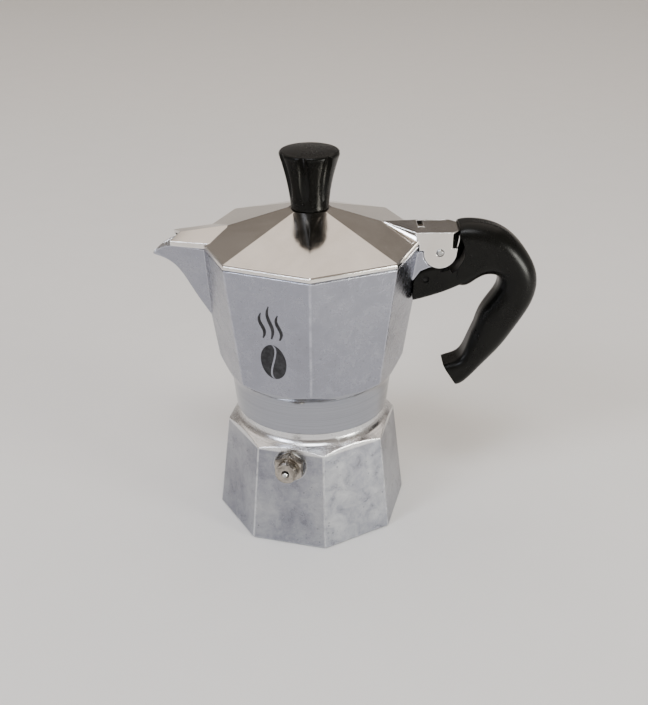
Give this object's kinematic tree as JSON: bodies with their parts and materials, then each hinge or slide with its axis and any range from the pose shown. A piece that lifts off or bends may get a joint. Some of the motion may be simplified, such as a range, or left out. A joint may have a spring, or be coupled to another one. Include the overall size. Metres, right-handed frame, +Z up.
{
  "type": "moka pot",
  "caption": "Octagonal aluminium stovetop coffee maker with a screw-on collector, spout, hinged lid, black handle and knob, and a safety valve.",
  "frame": {"origin": "centre of the boiler's base, on the surface it stands on", "axes": "+Z up, +X towards the handle, -X towards the spout"},
  "size_m": [0.1604, 0.0948, 0.165],
  "materials": {
    "boiler_casting": "worn cast, satin",
    "collector_casting": "satin, turned collar",
    "lid_polish": "polished",
    "sheet_aluminium": "pressed sheet",
    "valve_metal": "nickel plated",
    "steel": "bright",
    "seal_rubber": "matt",
    "black_plastic": "semi-gloss moulded"
  },
  "bodies": {
    "boiler": {"boiler": "boiler_casting", "valve_body": "valve_metal", "valve_washer": "seal_rubber", "valve_cap": "valve_metal", "valve_spring": "steel"},
    "valve_plunger": {"valve_pin": "steel"},
    "funnel": {"funnel": "sheet_aluminium", "funnel_tube": "sheet_aluminium", "funnel_sieve": "sheet_aluminium"},
    "gasket": {"gasket": "seal_rubber"},
    "filter_plate": {"filter_plate": "sheet_aluminium"},
    "collector": {"collector": "collector_casting", "column": "sheet_aluminium", "handle": "black_plastic", "handle_pin": "steel", "hinge_pin": "steel"},
    "lid": {"lid": "lid_polish", "knob": "black_plastic", "knob_insert": "valve_metal", "knob_screw": "steel", "knob_washer": "steel"}
  },
  "joints": [
    {"name": "valve_lift", "type": "slide", "parent": "boiler", "child": "valve_plunger", "axis": [-0.2615, -0.9652, 0], "range_m": [0, 0.0012], "stiffness_N_per_m": 800, "springref_m": -0.001, "deforming": ["valve_spring"]},
    {"name": "funnel_lift", "type": "slide", "parent": "boiler", "child": "funnel", "axis": [0, 0, 1], "range_m": [0, 0.06]},
    {"name": "collector_lift", "type": "slide", "parent": "funnel", "child": "gasket", "axis": [0, 0, 1], "range_m": [0, 0.06]},
    {"name": "thread_rise", "type": "slide", "parent": "gasket", "child": "filter_plate", "axis": [0, 0, 1], "range_m": [0, 0.0056]},
    {"name": "collector_unscrew", "type": "hinge", "parent": "filter_plate", "child": "collector", "pos_m": [0, 0, 0.06], "axis": [0, 0, 1], "range_deg": [0, 900]},
    {"name": "lid_open", "type": "hinge", "parent": "collector", "child": "lid", "pos_m": [0.0531, 0, 0.1237], "axis": [0, 1, 0], "range_deg": [0, 83]}
  ],
  "couplings": [
    {"joint": "thread_rise", "follows": "collector_unscrew", "m_per_rad": 0.00035014}
  ]
}
